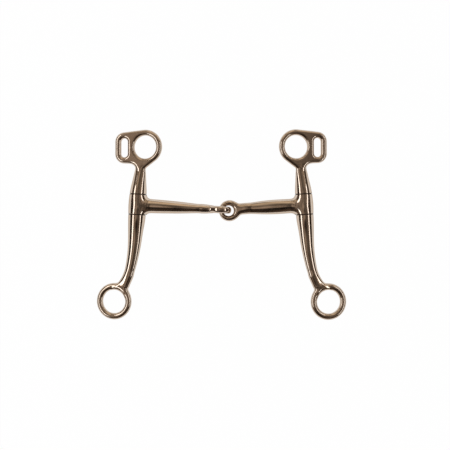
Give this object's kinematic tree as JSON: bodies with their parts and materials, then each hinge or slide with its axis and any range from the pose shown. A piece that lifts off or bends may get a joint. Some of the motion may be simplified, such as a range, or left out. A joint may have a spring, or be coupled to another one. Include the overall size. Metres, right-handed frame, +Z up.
{
  "type": "snaffle bit",
  "caption": "Jointed-mouth shank snaffle bit: mouthpiece of linked eyes between swivelling cheeks with bridle rings, curb slots and rein rings.",
  "frame": {"origin": "midway between the two barrels, on the mouthpiece's axis", "axes": "+X across the horse's mouth, from the left cheek to the right; +Y towards the bridle rings; +Z up off the surface that the bit lies on"},
  "size_m": [0.2137, 0.162, 0.0179],
  "materials": {
    "cheek_steel": "polished, warm nickel colour",
    "mouth_steel": "polished, warm nickel colour",
    "spindle_steel": "turned"
  },
  "bodies": {
    "right_cannon": {"right_cannon": "mouth_steel"},
    "left_cannon": {"left_cannon": "mouth_steel"},
    "left_cheek": {"left_upper_cheek": "cheek_steel", "left_lower_shank": "cheek_steel", "left_spindle": "spindle_steel"},
    "right_cheek": {"right_upper_cheek": "cheek_steel", "right_lower_shank": "cheek_steel", "right_spindle": "spindle_steel"}
  },
  "joints": [
    {"name": "centre_fold", "type": "hinge", "parent": "right_cannon", "child": "left_cannon", "pos_m": [0.00045, -0.00546, 0], "axis": [0, 1, 0], "range_deg": [-110, 110]},
    {"name": "left_swivel", "type": "hinge", "parent": "left_cannon", "child": "left_cheek", "pos_m": [-0.0709, 0, 0], "axis": [0.0523, 0.9986, 0], "continuous": true},
    {"name": "right_swivel", "type": "hinge", "parent": "right_cannon", "child": "right_cheek", "pos_m": [0.0709, 0, 0], "axis": [-0.0558, 0.9984, 0], "continuous": true}
  ]
}
